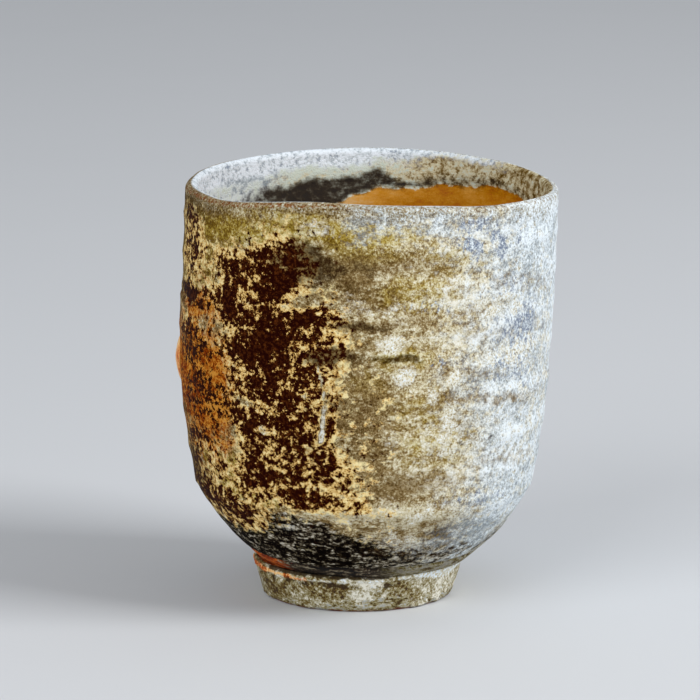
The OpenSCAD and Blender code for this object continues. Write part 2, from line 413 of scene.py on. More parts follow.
def grid_mesh(name, points, looped, fields):
    """A mesh from rings of points, each ring closed on itself, with one number field per name."""
    rows, cols = points.shape[:2]
    i, j = np.meshgrid(np.arange(rows if looped else rows - 1), np.arange(cols), indexing="ij")
    up, on = (i + 1) % rows, (j + 1) % cols
    quads = np.stack([i * cols + j, i * cols + on, up * cols + on, up * cols + j], axis=-1).reshape(-1, 4)
    faces = quads.tolist()
    if not looped:
        faces.append([cols - 1 - k for k in range(cols)])
        faces.append([(rows - 1) * cols + k for k in range(cols)])
    mesh = bpy.data.meshes.new(name)
    mesh.from_pydata(points.reshape(-1, 3).tolist(), [], faces)
    mesh.update()
    mesh.polygons.foreach_set("use_smooth", np.ones(len(mesh.polygons), dtype=bool))
    for field, values in fields.items():
        attribute = mesh.attributes.new(field, "FLOAT", "POINT")
        attribute.data.foreach_set("value", np.ascontiguousarray(values, dtype=np.float32).reshape(-1))
    piece = bpy.data.objects.new(name, mesh)
    bpy.context.scene.collection.objects.link(piece)
    return piece


def dressed(piece, material, node):
    """Gives a piece its material, and puts it in the place of its CAD node."""
    piece.data.materials.append(material)
    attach(piece, BODY)
    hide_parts(node)


# Where the fire left what, and some thin bands of painted shade along the throwing rings: soft ovals,
# each (turn, height, half its turn, half its height, strength), in degrees from the front to the right
# and in millimetres. The materials read them from the mesh.

FIRE = {
    "scorch": [
        (-64, 62, 10, 16, 0.1), (-7, 47, 7, 11, -0.17), (-4, 38, 8, 12, 0.08), (-17, 73, 7, 5, -0.35),
        (-32, 53, 24, 27, 0.56), (2, 42, 18, 26, 0.1), (-6, 24, 20, 4, 0.08), (8, 18, 20, 4, 0.06),
        (-72, 50, 18, 11, 0.16), (-44, 66, 6, 2.5, 0.26), (-46, 70, 7, 7, 0.12), (-40, 62, 6, 2, -0.12),
        (-36, 48, 7, 3, -0.14), (-28, 42, 5, 3.5, -0.26), (-28, 38, 5, 2.5, -0.15),
        (-36, 70, 5, 3, -0.16), (-36, 58, 5, 2.5, -0.14), (-44, 44, 6, 3, 0.2), (-20, 74, 6, 2.5, 0.2),
        (-30, 78, 9, 2, 0.14), (-28, 66, 6, 2, 0.12), (-26, 58, 10, 9, 0.08), (-28, 73, 15, 6, 0.36),
        (-47, 74, 7, 3, 0.2), (-36, 58.5, 9, 5, 0.3), (-19, 58, 6, 3, -0.14), (-52, 50, 6, 4, -0.16),
        (-36, 37, 6, 5, 0.14), (-46, 37, 6, 5, -0.25), (-28, 40.5, 10, 4.5, 0.26),
        (-32, 30.5, 8, 2, 0.22), (-37, 66.5, 5, 2.5, -0.25), (-26, 62.5, 10, 2, 0.14),
        (-14, 52, 8, 16, 0.1), (-40, 54, 8, 1.4, -0.2), (-37, 46, 9, 2, -0.34),
        (-19, 66.8, 7, 1.6, -0.34), (-23, 70.5, 8, 2.5, 0.26), (-37, 73, 5, 2.5, -0.15),
        (-46, 62, 6, 1.4, -0.2), (-30, 31, 18, 4, 0.24), (-13, 34, 7, 4, 0.22),
        (-15, 64, 11, 1.6, 0.28), (-18, 26.5, 7, 2, 0.45), (-8, 26, 8, 2, 0.25), (-78, 27, 20, 9, 0.42),
        (-70, 36, 10, 4, 0.3), (-70, 66, 16, 1.8, 0.6), (-80, 82, 16, 2.5, 0.32),
        (-74, 75, 10, 7, 0.42), (-60, 74, 10, 7, 0.12), (-70, 57, 14, 5, 0.3), (-64, 45, 12, 5, 0.3),
        (-54, 34, 14, 6, 0.2), (-54, 22, 18, 4, 0.5), (-112, 60, 16, 16, 0.55), (-150, 38, 22, 12, 0.4),
        (160, 62, 14, 8, 0.2), (-128, 30, 16, 6, 0.3),
    ],
    "smoke_and_ring_shade": [
        # Besides soot, the thin bands near 56 and 63 mm in the middle are painted shade along the throwing
        # rings
        (43, 38.2, 1.2, 0.4, 1.5), (28.5, 37.5, 0.8, 0.4, 1.2), (-18, 73.5, 8, 4, 0.8),
        (-13, 56.4, 6, 1.2, 0.5), (3, 56.1, 12, 0.9, 0.75), (0, 62.3, 10, 1.2, 0.5),
        (-24, 76.5, 8, 3.4, 1.1), (-13, 74.5, 6, 2.2, 0.7), (-2, 75, 9, 2, 0.35),
        (-12, 56.5, 5, 1.2, 0.9), (9, 55.6, 8, 0.9, 0.6), (-6, 63.4, 9, 1.4, 0.55),
        (-80, 83, 18, 3, 0.6), (-78, 66, 18, 1.8, 0.8), (-80, 28, 18, 8, 0.9), (-12, 50, 6, 12, 0.1),
        (-14, 48, 6, 6, 0.08), (-6, 50, 6, 3, 0.2), (-16, 38, 5, 3, 0.3), (10, 15.5, 14, 1.4, 0.5),
        (24, 18, 8, 1, 0.35), (32, 13, 14, 1.5, 0.4), (150, 74, 20, 3, 0.5), (-140, 70, 22, 4, 0.6),
        (178, 40, 16, 5, 0.45),
    ],
    "flash": [
        (-76, 52, 24, 9, 0.85), (-62, 46, 12, 9, 0.5), (-60, 62, 10, 10, 0.4), (-68, 36, 20, 8, 0.5),
        (-66, 65, 18, 2, 0.5), (-120, 46, 30, 18, 0.7), (-50, 48, 9, 13, 0.6), (-150, 58, 16, 8, 0.4),
    ],
    "olive": [
        (-34, 82, 30, 3.4, 0.8), (0, 82, 16, 2.6, 0.6), (-68, 78, 20, 7, 0.9), (-70, 70, 18, 5, 0.7),
        (-42, 27, 16, 2.4, 0.9), (15, 69, 12, 4, 0.45), (-2, 78, 12, 3, 0.6), (24, 76, 14, 3, 0.35),
        (12, 56, 9, 3, 0.5), (18, 46, 12, 4, 0.4), (22, 38, 12, 5, 0.35), (-3, 51, 8, 3, 0.4),
        (36, 17, 16, 4, 0.15), (-50, 19, 14, 4, 0.5), (-50, 31, 14, 5, 1), (6, 56, 12, 1, 0.4),
        (150, 52, 20, 14, 0.6), (112, 74, 20, 5, 0.5), (98, 34, 14, 5, 0.45), (-175, 22, 26, 4, 0.6),
        (-170, 78, 24, 6, 0.6),
    ],
    "tan": [
        (-5, 75, 12, 3, 0.75), (14, 75, 12, 2, 0.5), (4, 63, 14, 1.4, 0.75), (34, 63.5, 14, 1, 0.3),
        (4, 31.5, 15, 4, 0.8), (20, 31, 12, 2.6, 0.6), (0, 38, 6, 4, 0.6), (-5, 48, 9, 4, 0.65),
        (-7, 57, 6, 4, 0.5), (25, 46.5, 10, 1.4, 0.6), (50, 47, 16, 1.6, 0.55), (52, 61, 20, 1.5, 0.45),
        (54, 70, 22, 2, 0.4), (40, 53, 12, 1.6, 0.4), (50, 34, 20, 2, 0.35), (-14, 35, 5, 3, 0.6),
        (16, 21, 14, 2, 0.5), (120, 50, 40, 4, 0.6), (170, 64, 30, 4, 0.5),
    ],
    "isle": [
        (6, 36, 14, 10, 0.1), (-4, 40, 12, 16, 0.2), (-10, 62, 10, 12, 0.22), (-8, 34, 8, 7, 0.16),
        (-10, 25, 16, 3, 0.4), (12, 26, 22, 5, 0.2), (16, 64, 20, 14, 0.14), (-12, 53, 6, 8, 0.25),
        (-60, 64, 12, 5, 0.3), (-62, 74, 16, 6, 0.25), (-30, 24, 24, 2.5, 0.3), (6, 21, 24, 5, 0.35),
        (34, 20, 18, 5, 0.3), (24, 40, 20, 14, 0.16), (150, 50, 40, 20, 0.3), (-150, 50, 30, 20, 0.25),
    ],
    "vein": [
        (28, 80, 4, 3, 0.4), (24, 84.5, 34, 2.2, 0.26), (34, 83, 5, 2, 0.38), (32, 78, 3, 3, 0.6),
        (40, 78.6, 3, 4, 0.6), (50, 80, 5, 3, 0.4), (46, 69, 12, 3, 0.35), (48, 61, 8, 4, 0.5),
        (58, 62, 6, 5, 0.45), (46, 54, 6, 3, 0.45), (56, 52, 6, 4, 0.35), (22, 55, 12, 1.6, 0.3),
        (20, 66.5, 14, 1.6, 0.3), (40, 26, 16, 1.4, 0.45), (70, 56, 16, 24, 0.25),
    ],
    "frost": [
        (-11, 49.6, 2.5, 1, 0.6), (15, 43.6, 3, 1.6, 0.45), (28, 43.6, 3, 2, 0.4),
        (20, 49, 4, 1.5, 0.35), (24, 71.2, 6, 2, 0.35), (12, 74, 3, 1.5, 0.35),
        (5.5, 58.6, 4, 1.9, 0.86), (18, 58.5, 7, 1.4, 0.2), (10, 52.6, 2.9, 1.8, 0.88),
        (7, 41.5, 3.2, 2.4, 0.45), (22, 41, 7, 1.8, 0.2), (-12, 29, 9, 2, 0.45), (4, 26.5, 8, 2, 0.36),
        (-8, 21.6, 7, 1, 0.4), (10, 20.5, 8, 1.4, 0.35), (6, 66, 10, 1.4, 0.45), (-3, 68.5, 4, 3, 0.25),
        (-3, 35, 5, 1.5, 0.4), (20, 36.5, 12, 3, 0.16), (32, 40, 12, 4, 0.22), (29, 52, 2.6, 2, 0.8),
        (40, 66, 14, 2, 0.4), (50, 57, 16, 3, 0.35), (64, 50, 18, 30, 0.25), (-64, 62.3, 16, 2.2, 0.12),
        (-66, 70, 16, 4, 0.15), (-66, 31.5, 4, 1.8, 0.7), (-28, 18.5, 5, 1.2, 0.3),
        (2, 23, 5, 1.6, 0.4), (12, 19, 6, 1.6, 0.35), (22, 24, 10, 2, 0.3), (-18, 82, 7, 1.8, 0.5),
        (130, 66, 30, 5, 0.5), (-165, 60, 30, 5, 0.5), (175, 32, 30, 6, 0.5),
    ],
    "light": [
        # The thin dark band at 62.5 mm is painted shade along a throwing ring
        (3, 31, 16, 3, -0.1), (14, 30, 16, 2.4, -0.1), (5, 62.5, 24, 1.2, -0.06),
        (14, 46, 10, 26, 0.07), (30, 61.5, 30, 2.5, 0.12), (12, 42, 5, 4, 0.1), (4, 22, 5, 2, 0.2),
        (20, 26, 14, 4, 0.12), (-18, 20, 8, 3, 0.1), (-4, 28, 5, 4, -0.14), (14, 32, 6, 4, 0.08),
        (30, 33, 10, 4, 0.12), (46, 15, 34, 5, -0.24), (-52, 69, 6, 6, 0.1), (24, 74, 14, 2, -0.1),
        (25, 46.5, 9, 1.5, -0.12), (40, 53, 14, 2, -0.1), (46, 47, 14, 1.5, -0.12),
        (56, 61, 12, 1.5, -0.1), (56, 70, 12, 2, -0.08), (0, 38, 7, 3, -0.08), (-8, 52, 5, 6, -0.08),
        (-8, 73, 7, 3, -0.1), (20, 20, 20, 3, -0.12), (10, 82, 24, 3, 0.14), (-18, 82, 8, 2, 0.1),
        (-66, 74, 16, 8, -0.04), (-14, 40, 6, 14, -0.1), (-2, 40, 9, 13, -0.08),
        (-48, 31, 14, 5, -0.12), (-40, 17, 24, 6, -0.1), (-16, 14, 16, 4, -0.16),
        (-66, 72, 18, 10, -0.06), (10, 16, 20, 4, 0.04), (12, 72, 12, 3, 0.06), (120, 50, 40, 4, -0.14),
        (-160, 60, 30, 5, 0.1), (170, 30, 30, 5, 0.1),
    ],
}


def zone(name, turn, height):
    """The summed strength of one kind of mark, at turns in degrees and heights in millimetres."""
    total = np.zeros(turn.shape)
    for centre, level, half_turn, half_height, strength in FIRE[name]:
        far = (turned_away(turn, centre) / half_turn) ** 2 + ((height - level) / half_height) ** 2
        total += strength * np.exp(-(far**1.5))
    return total


def fire_marks(s, turn, z, points):
    """The zones of the outside wall, by turn and height, with edges that wander."""
    around = turn + 4 * clouds(points, 11 * MM, 3, 41)
    height = z / MM + 1.6 * clouds(points, 10 * MM, 3, 47)
    back = smooth(around, -110, -170)
    right = np.maximum(smooth(around, -10, 50), back)
    marks = {name: zone(name, around, height) for name in FIRE}
    marks["scorch"] *= 1 + 0.16 * clouds(points, 6 * MM, 2, 61)
    marks["light"] += 0.36 + 0.25 * right - 0.16 * facing(around, FIRE_SIDE, 50, 15)
    for stone in STONES:
        lift = spot(s, turn, z, stone)
        marks["light"] += 0.15 * lift
        marks["scorch"] -= 0.38 * lift
        marks["smoke_and_ring_shade"] -= 0.9 * lift
    for pit in PITS:
        marks["light"] -= 0.6 * spot(s, turn, z, pit)

    across, cut, run = scratch(s, turn, z)
    across = across + 0.25 * MM * clouds(points, 1.3 * MM, 2, 67)
    # The white run of ash is the glaze's own; the pale line along the thin cut is a painted highlight
    run_and_cut_highlight = run * hump(across, 0.45 * MM, 4) + 0.6 * cut * hump(across, 0.2 * MM)
    # A painted shadow to the right of the run, laid on as scorch
    run_shadow = 0.25 * run * hump(across - 1.4 * MM, 0.9 * MM)
    marks["scorch"] = 0.88 * np.tanh(1.4 * marks["scorch"]) - 0.8 * run_and_cut_highlight + run_shadow
    marks["frost"] += 0.2 * right + 0.9 * run_and_cut_highlight
    marks["light"] += 0.2 * run_and_cut_highlight

    char_top = 23.4 + 3 * smooth(around, -50, -62) - 5.5 * smooth(around, -28, -6)
    char_top -= 3.5 * smooth(around, -8, 42) + 15.5 * back
    spread = 1.8 + 1.8 * smooth(around, -8, 30)
    char_and_shade = smooth(height, char_top + spread, char_top - spread)
    marks["char_and_shade"] = char_and_shade * (1 - 0.45 * np.maximum(smooth(around, -6, 34), back))
    cool = 1.1 * np.maximum(smooth(around, 8, 66), back) * (1 - 0.5 * smooth(height, 24, 15))
    cool += 0.6 * smooth(height, 77, 85) * within(around, 0, 20, 14)
    marks["cool"] = cool + 0.36 * smooth(height, 23, 18) * within(around, 8, 50, 16)
    grit = smooth(height, 82.5 + 1.5 * facing(around, FIRE_SIDE, 88, 58), 86.5)
    grit *= 1 - 0.5 * facing(around, FIRE_SIDE, 66, 36)
    marks["grit"] = grit * (1 - 0.55 * facing(around, 90, 92, 50))
    return marks


# Inside, the upper edges of the char and of the bare liner, as (turn from the back, height)
CHAR_EDGE = [
    (-60, 81), (-16, 81), (-9, 81.2), (-4, 82.9), (4, 81.9), (14, 80.8), (30, 80.1), (46, 79.5), (58, 77),
]
LINER_EDGE = [
    (-180, 79.5), (-84, 78), (-68, 79), (-58, 81.4), (-45, 82.1), (-18, 80.1), (-3, 78.7),
    (7, 77.6), (11, 76), (16, 62), (90, 60), (140, 76), (180, 79.5),
]
INSIDE = ["seam", "bare", "tan_side", "deep", "pale", "speck", "blue"]


def edge_height(turn, edge):
    """Height of an edge that is given by points from right to left."""
    return np.interp(turn, *zip(*edge))


def inside_marks(turn, z, points):
    """The zones of the inner wall: ash at the rim, a charred seam, then the liner's ambers."""
    far = turned_away(turn + 3 * clouds(points, 9 * MM, 4, 53), 180)
    height = z / MM + 0.7 * clouds(points, 5 * MM, 4, 59)
    char_edge, liner_edge = edge_height(far, CHAR_EDGE), edge_height(far, LINER_EDGE)
    left, shown = smooth(far, 11, 17), within(far, -110, 110, 50)
    seam = smooth(height, char_edge + 1.1, char_edge - 0.9) * smooth(height, 52, 72)
    seam *= np.maximum(smooth(height, liner_edge, liner_edge + 1), left)
    seam *= smooth(far, 60, 30) * smooth(far, -62, -10) * (0.85 + 0.1 * left)
    spots = 0.3 * shown * smooth(far, -10, -24) * hump(height - liner_edge - 0.9, 0.9)
    blue = 1.1 * smooth(height, 82, 85.6) * shown * smooth(far, -24, 10)
    blue += 0.6 * shown * smooth(far, 20, 50)
    return {
        "seam": seam + spots,
        "bare": 1.4 * smooth(height, liner_edge + 0.6, liner_edge - 0.6),
        "tan_side": shown * smooth(far, -14, 9),
        "deep": 0.8 * smooth(z / MM, 30, 13),
        "pale": 0.6 + shown * (0.34 * smooth(far, -24, 12) - 0.13 * smooth(far, -36, -60)),
        "speck": 0.85 * smooth(height, 82.6, 84.6),
        "blue": blue + 0.7 * smooth(height, 85.2, 86.6) * smooth(np.abs(far + 90), 30, 60),
    }


# Materials

RAMP = "ShaderNodeValToRGB"

# How a layer spreads as its amount grows: it takes half of a pattern's blobs at an amount of 0.5,
# and all of them near 0.8. The contrast is one over the spread of the patterns' values.
COVER_GROWTH = 1.6
COVER_CONTRAST = 1 / 0.24
COVER_START = 0.38 * COVER_CONTRAST - 0.3


def add_node(tree, kind, links=None, stops=None, **settings):
    """Adds a node with its settings, and links or sets its inputs."""
    node = tree.nodes.new(kind)
    for name, value in settings.items():
        setattr(node, name, value)
    for socket, source in (links or {}).items():
        if isinstance(source, bpy.types.NodeSocket):
            tree.links.new(source, node.inputs[socket])
        else:
            node.inputs[socket].default_value = source
    for k, (place, shade) in enumerate(stops or []):
        elements = node.color_ramp.elements
        element = elements[k] if k < 2 else elements.new(place)
        element.position = place
        element.color = [*shade, 1]
    return node


def pattern(tree, across, detail, roughness, stretch=1.0):
    """Noise in the cup's own space: blobs that many millimetres across, made flatter by stretch."""
    where = add_node(tree, "ShaderNodeTexCoord").outputs["Object"]
    sized = add_node(tree, "ShaderNodeMapping", {0: where, 3: (1 / MM, 1 / MM, stretch / MM)})
    links = {"Vector": sized.outputs[0], "Scale": 1 / across, "Detail": detail, "Roughness": roughness}
    return add_node(tree, "ShaderNodeTexNoise", links).outputs["Fac"]


def shared_patterns(tree):
    """The blotches, flecks and grain that the ash and the liner share, so they meet without a seam."""
    mottle = pattern(tree, 2.1, 6, 0.68, stretch=1.3)
    fleck = pattern(tree, 0.8, 4, 0.65, stretch=1.1)
    # The ash's grains are near 0.2 mm: they are drawn at 0.4 mm, the finest that the render shows
    grain = pattern(tree, 0.4, 2, 0.7)
    return mottle, fleck, grain


def weighed(tree, start, *terms):
    """start plus each value times its weight."""
    total = start
    for value, weight in terms:
        links = {0: value, 1: weight, 2: total}
        total = add_node(tree, "ShaderNodeMath", links, operation="MULTIPLY_ADD").outputs[0]
    return total


def covered(tree, amount, blobs, edge):
    """How far a layer covers the ground: it takes the share amount of a pattern's blobs."""
    ahead = weighed(tree, COVER_START, (amount, COVER_GROWTH), (blobs, -COVER_CONTRAST))
    span = {0: ahead, 1: -edge, 2: edge}
    cover = add_node(tree, "ShaderNodeMapRange", span, interpolation_type="SMOOTHSTEP")
    present = add_node(tree, "ShaderNodeMath", {0: amount, 1: 10}, operation="MULTIPLY", use_clamp=True)
    both = {0: cover.outputs[0], 1: present.outputs[0]}
    return add_node(tree, "ShaderNodeMath", both, operation="MULTIPLY").outputs[0]


def layered(tree, ground, layers):
    """Layers laid over the ground in turn, each as (colour, cover, opacity)."""
    for shade, cover, opacity in layers:
        links = {0: weighed(tree, 0.0, (cover, opacity)), 6: ground, 7: shade}
        ground = add_node(tree, "ShaderNodeMix", links, data_type="RGBA").outputs[2]
    return ground


def new_material(name, marks=()):
    """An empty material, and an output for each of the mesh's marks that it reads."""
    material = bpy.data.materials.new(name)
    material.use_nodes = True
    tree = material.node_tree
    tree.nodes.clear()
    fire = {}
    for mark in marks:
        fire[mark] = add_node(tree, "ShaderNodeAttribute", attribute_name=mark).outputs["Fac"]
    return material, tree, fire


def finished_surface(tree, shade, roughness, height, ior, gloss, strength=1.0):
    """Joins colour, roughness and a bump of height millimetres into the surface."""
    bump = add_node(tree, "ShaderNodeBump", {"Height": height, "Distance": MM, "Strength": strength})
    links = {"Base Color": shade, "Roughness": roughness, "Normal": bump.outputs[0]}
    links.update({"IOR": ior, "Specular IOR Level": gloss})
    shader = add_node(tree, "ShaderNodeBsdfPrincipled", links)
    add_node(tree, "ShaderNodeOutputMaterial", {0: shader.outputs[0]})


def rim_ash(tree, c, fire, mottle, fleck, grain):
    """The ash inside the rim: sky-white where it is thick, cream and spotted brown where it is thin."""
    tone = weighed(tree, -1.63, (mottle, 2.0), (fleck, 0.9), (grain, 0.4), (fire["pale"], 1.0))
    warm = add_node(tree, RAMP, {0: tone}, [
        (0.08, c.ash_shadow), (0.28, c.olive_deep), (0.46, c.ash_khaki), (0.68, c.ash_cream),
        (0.95, c.ice_green),
    ]).outputs[0]
    tone = weighed(tree, 0.0, (fleck, 0.5), (mottle, 0.4), (grain, 0.1))
    cold = add_node(tree, RAMP, {0: tone}, [
        (0.39, c.cool_blue), (0.46, c.cool_pale), (0.53, c.ice_white),
    ]).outputs[0]
    soft = add_node(tree, RAMP, {0: mottle}, [
        (0.38, c.cool_grey), (0.48, c.cool_pale), (0.56, c.ice_white),
    ]).outputs[0]
    specks = (cold, covered(tree, fire["speck"], mottle, 0.8), 1)
    specked = layered(tree, soft, [specks])
    return layered(tree, warm, [(specked, covered(tree, fire["blue"], mottle, 0.6), 1)])


def inner_wall(tree, c, fire, mottle, fleck, grain):
    """Colour of the whole inner wall: the liner, tan behind and amber to the right, then ash and char."""
    wide = pattern(tree, 9, 3, 0.5)
    throwing = pattern(tree, 3, 3, 0.6, stretch=4.0)
    tone = weighed(tree, -0.5, (wide, 0.8), (throwing, 0.4), (mottle, 0.5), (grain, 0.3))
    amber = add_node(tree, RAMP, {0: tone}, [
        (0.3, c.liner_orange), (0.5, c.liner_amber), (0.75, c.liner_tan),
    ]).outputs[0]
    tan = add_node(tree, RAMP, {0: tone}, [
        (0.28, c.liner_amber), (0.54, c.liner_tan), (1.0, c.ash_cream),
    ]).outputs[0]
    liner = [
        (tan, covered(tree, fire["tan_side"], mottle, 1.2), 1),
        ([*c.liner_pool, 1], covered(tree, fire["deep"], mottle, 0.9), 1),
    ]
    liner = layered(tree, amber, liner)
    singed = weighed(tree, 0.0, (fire["seam"], 1.25))
    charred = weighed(tree, 0.0, (fire["seam"], 0.9))
    coats = [
        (liner, covered(tree, fire["bare"], mottle, 0.35), 1),
        ([*c.ash_shadow, 1], covered(tree, singed, mottle, 1.3), 1),
        ([*c.smut, 1], covered(tree, charred, mottle, 1.0), 1),
    ]
    return layered(tree, rim_ash(tree, c, fire, mottle, fleck, grain), coats)


def ash_glaze_material(c):
    """Natural wood ash glaze, melted on the pot by the kiln: dry and crystalline where it is pale,
    glassy and thin on the scorch, so light spreads wide on it with only faint sparkle."""
    marks = [*FIRE, "char_and_shade", "cool", "grit", "lip", "inside", *INSIDE]
    material, tree, fire = new_material("natural_ash_glaze_wood_fired", marks)
    mottle, fleck, grain = shared_patterns(tree)
    bands = pattern(tree, 13, 4, 0.55, stretch=5.0)
    wide = pattern(tree, 6, 4, 0.6, stretch=1.2)
    drag = pattern(tree, 2.4, 6, 0.76, stretch=2.3)
    vein = pattern(tree, 1.1, 5, 0.74, stretch=0.7)
    crisp = weighed(tree, -0.168, (pattern(tree, 1.8, 6, 0.74, stretch=1.05), 0.92), (fleck, 0.4))
    isles = weighed(tree, -0.1, (pattern(tree, 2.5, 6, 0.72, stretch=1.25), 0.9), (fleck, 0.3))
    edges = {0: mottle, 1: 0.45, 2: 0.55}
    patches = add_node(tree, "ShaderNodeMapRange", edges, interpolation_type="SMOOTHSTEP").outputs[0]

    # The usual ash: one tone from the blotches to the finest grain, in four families of colour
    tone = weighed(tree, -1.935, (patches, 0.16), (bands, 0.85), (wide, 0.5), (fleck, 1.25))
    tone = weighed(tree, tone, (grain, 1.1), (fire["light"], 1.0))
    ash = add_node(tree, RAMP, {0: tone}, [
        (0.05, c.ash_shadow), (0.25, c.ash_brown), (0.43, c.ash_khaki), (0.68, c.ash_cream),
        (0.92, c.ash_white),
    ]).outputs[0]
    olive = add_node(tree, RAMP, {0: tone}, [
        (0.1, c.olive_deep), (0.42, c.olive_mid), (0.75, c.olive_pale),
    ]).outputs[0]
    cool = add_node(tree, RAMP, {0: tone}, [
        (0.32, c.cool_grey), (0.52, c.cool_pale), (0.8, c.cool_white),
    ]).outputs[0]
    flash = add_node(tree, RAMP, {0: tone}, [
        (0.04, c.flash_deep), (0.14, c.flash_rust), (0.25, c.flash_orange), (0.46, c.flash_peach),
    ]).outputs[0]

    # The char under the shoulder, dragged round by the turning tool
    tone = weighed(tree, -2.085, (drag, 3.4), (fleck, 1.2), (fire["light"], 0.6))
    char_and_shade = add_node(tree, RAMP, {0: tone}, [
        (0.28, c.char_black), (0.4, c.char_brown), (0.51, c.char_grey), (0.64, c.char_pale),
        (0.84, c.char_white),
    ]).outputs[0]

    # The scorch, and the cream ash that curdled along its edge: palest farthest from it
    into = weighed(tree, COVER_START, (fire["scorch"], COVER_GROWTH), (crisp, -COVER_CONTRAST))
    tone = weighed(tree, 0.495, (into, 1.3), (grain, 0.6))
    cream = add_node(tree, RAMP, {0: tone}, [
        (0.0, c.speckle_pale), (0.5, c.speckle_cream), (0.7, c.speckle_buff),
        (0.84, c.scorch_brown),
    ]).outputs[0]
    tone = weighed(tree, 0.0, (fleck, 0.7), (grain, 0.3))
    pitch = add_node(tree, RAMP, {0: tone}, [(0.48, c.scorch_black), (0.68, c.scorch_brown)]).outputs[0]
    # Soot, which also paints the shade along the throwing rings
    tone = weighed(tree, -0.1, (fleck, 0.8), (grain, 0.4))
    soot_and_ring_shade = add_node(tree, RAMP, {0: tone}, [
        (0.4, c.scorch_black), (0.52, c.soot_and_shade_brown), (0.66, c.ash_brown),
    ]).outputs[0]

    # Thin tan ash, pale isles, blue-grey crawled edges and white frost
    tone = weighed(tree, -0.1, (fleck, 0.6), (grain, 0.6))
    tan = add_node(tree, RAMP, {0: tone}, [
        (0.3, c.ash_shadow), (0.46, c.ash_brown), (0.6, c.ash_khaki), (0.74, c.ash_cream),
    ]).outputs[0]
    tone = weighed(tree, 0.0, (fleck, 0.5), (grain, 0.5))
    isle = add_node(tree, RAMP, {0: tone}, [
        (0.34, c.ash_khaki), (0.5, c.ash_cream), (0.66, c.ash_white),
    ]).outputs[0]
    tone = weighed(tree, 0.0, (grain, 0.6), (fleck, 0.4))
    crawled = add_node(tree, RAMP, {0: tone}, [
        (0.4, c.cool_deep), (0.49, c.cool_blue), (0.56, c.cool_pale), (0.64, c.cool_white),
    ]).outputs[0]
    tone = weighed(tree, -0.1, (grain, 0.8), (fleck, 0.4))
    frost = add_node(tree, RAMP, {0: tone}, [
        (0.34, c.ash_brown), (0.42, c.ash_cream), (0.52, c.ash_white), (0.64, c.cool_white),
    ]).outputs[0]

    # The grit caught along the rim
    tone = weighed(tree, -0.09, (grain, 0.7), (fleck, 0.45), (fire["cool"], 0.06))
    grit = add_node(tree, RAMP, {0: tone}, [
        (0.38, c.ash_shadow), (0.46, c.ash_khaki), (0.53, c.crust_grey), (0.6, c.cool_pale),
        (0.7, c.cool_white),
    ]).outputs[0]

    black = covered(tree, fire["scorch"], crisp, 0.08)
    brown = covered(tree, weighed(tree, 0.0, (fire["scorch"], 1.05)), crisp, 0.12)
    near_scorch = covered(tree, weighed(tree, -0.02, (fire["scorch"], 2.0)), isles, 0.25)
    specks = covered(tree, weighed(tree, 0.2, (fire["cool"], -0.3)), fleck, 0.25)
    blue_specks = covered(tree, weighed(tree, -0.05, (fire["cool"], 0.25)), fleck, 0.3)
    frosted = covered(tree, fire["frost"], isles, 0.45)
    layers = [
        (olive, covered(tree, fire["olive"], mottle, 0.9), 1),
        ([*c.ash_brown, 1], specks, 0.7),
        (cool, covered(tree, fire["cool"], isles, 0.7), 1),
        (char_and_shade, covered(tree, fire["char_and_shade"], mottle, 0.4), 1),
        (tan, covered(tree, fire["tan"], mottle, 0.9), 0.85),
        (isle, covered(tree, fire["isle"], isles, 0.2), 0.8),
        (frost, frosted, 0.9),
        (cream, near_scorch, 1),
        (flash, covered(tree, fire["flash"], isles, 0.5), 1),
        ([*c.cool_grey, 1], blue_specks, 0.55),
        (crawled, covered(tree, fire["vein"], vein, 0.3), 1),
        # Soot, and painted shade along the throwing rings
        (soot_and_ring_shade, covered(tree, fire["smoke_and_ring_shade"], mottle, 0.7), 0.85),
        ([*c.scorch_brown, 1], brown, 1),
        (pitch, black, 1),
        (grit, covered(tree, fire["grit"], fleck, 0.9), 0.75),
        ([*c.flash_rust, 1], covered(tree, fire["lip"], fleck, 0.5), 0.6),
        (inner_wall(tree, c, fire, mottle, fleck, grain), fire["inside"], 1),
    ]
    ground = layered(tree, ash, layers)
    roughness = weighed(tree, 0.5, (black, -0.14), (grain, 0.25))
    height = weighed(tree, 0.0, (grain, 0.2), (mottle, 0.2), (black, -0.1), (fleck, 0.2), (frosted, 0.06))
    calm = weighed(tree, 1.0, (black, -0.8))
    finished_surface(tree, ground, roughness, height, ior=1.52, gloss=0.01, strength=calm)
    return material


def liner_material(c):
    """Amber liner glaze poured inside before firing: a glassy coat, satin where ash dusted it."""
    material, tree, fire = new_material("amber_liner_glaze", INSIDE)
    mottle, fleck, grain = shared_patterns(tree)
    roughness = weighed(tree, 0.3, (mottle, 0.25))
    height = weighed(tree, 0.0, (mottle, 0.14), (grain, 0.04))
    shade = inner_wall(tree, c, fire, mottle, fleck, grain)
    finished_surface(tree, shade, roughness, height, ior=1.55, gloss=0.04)
    return material


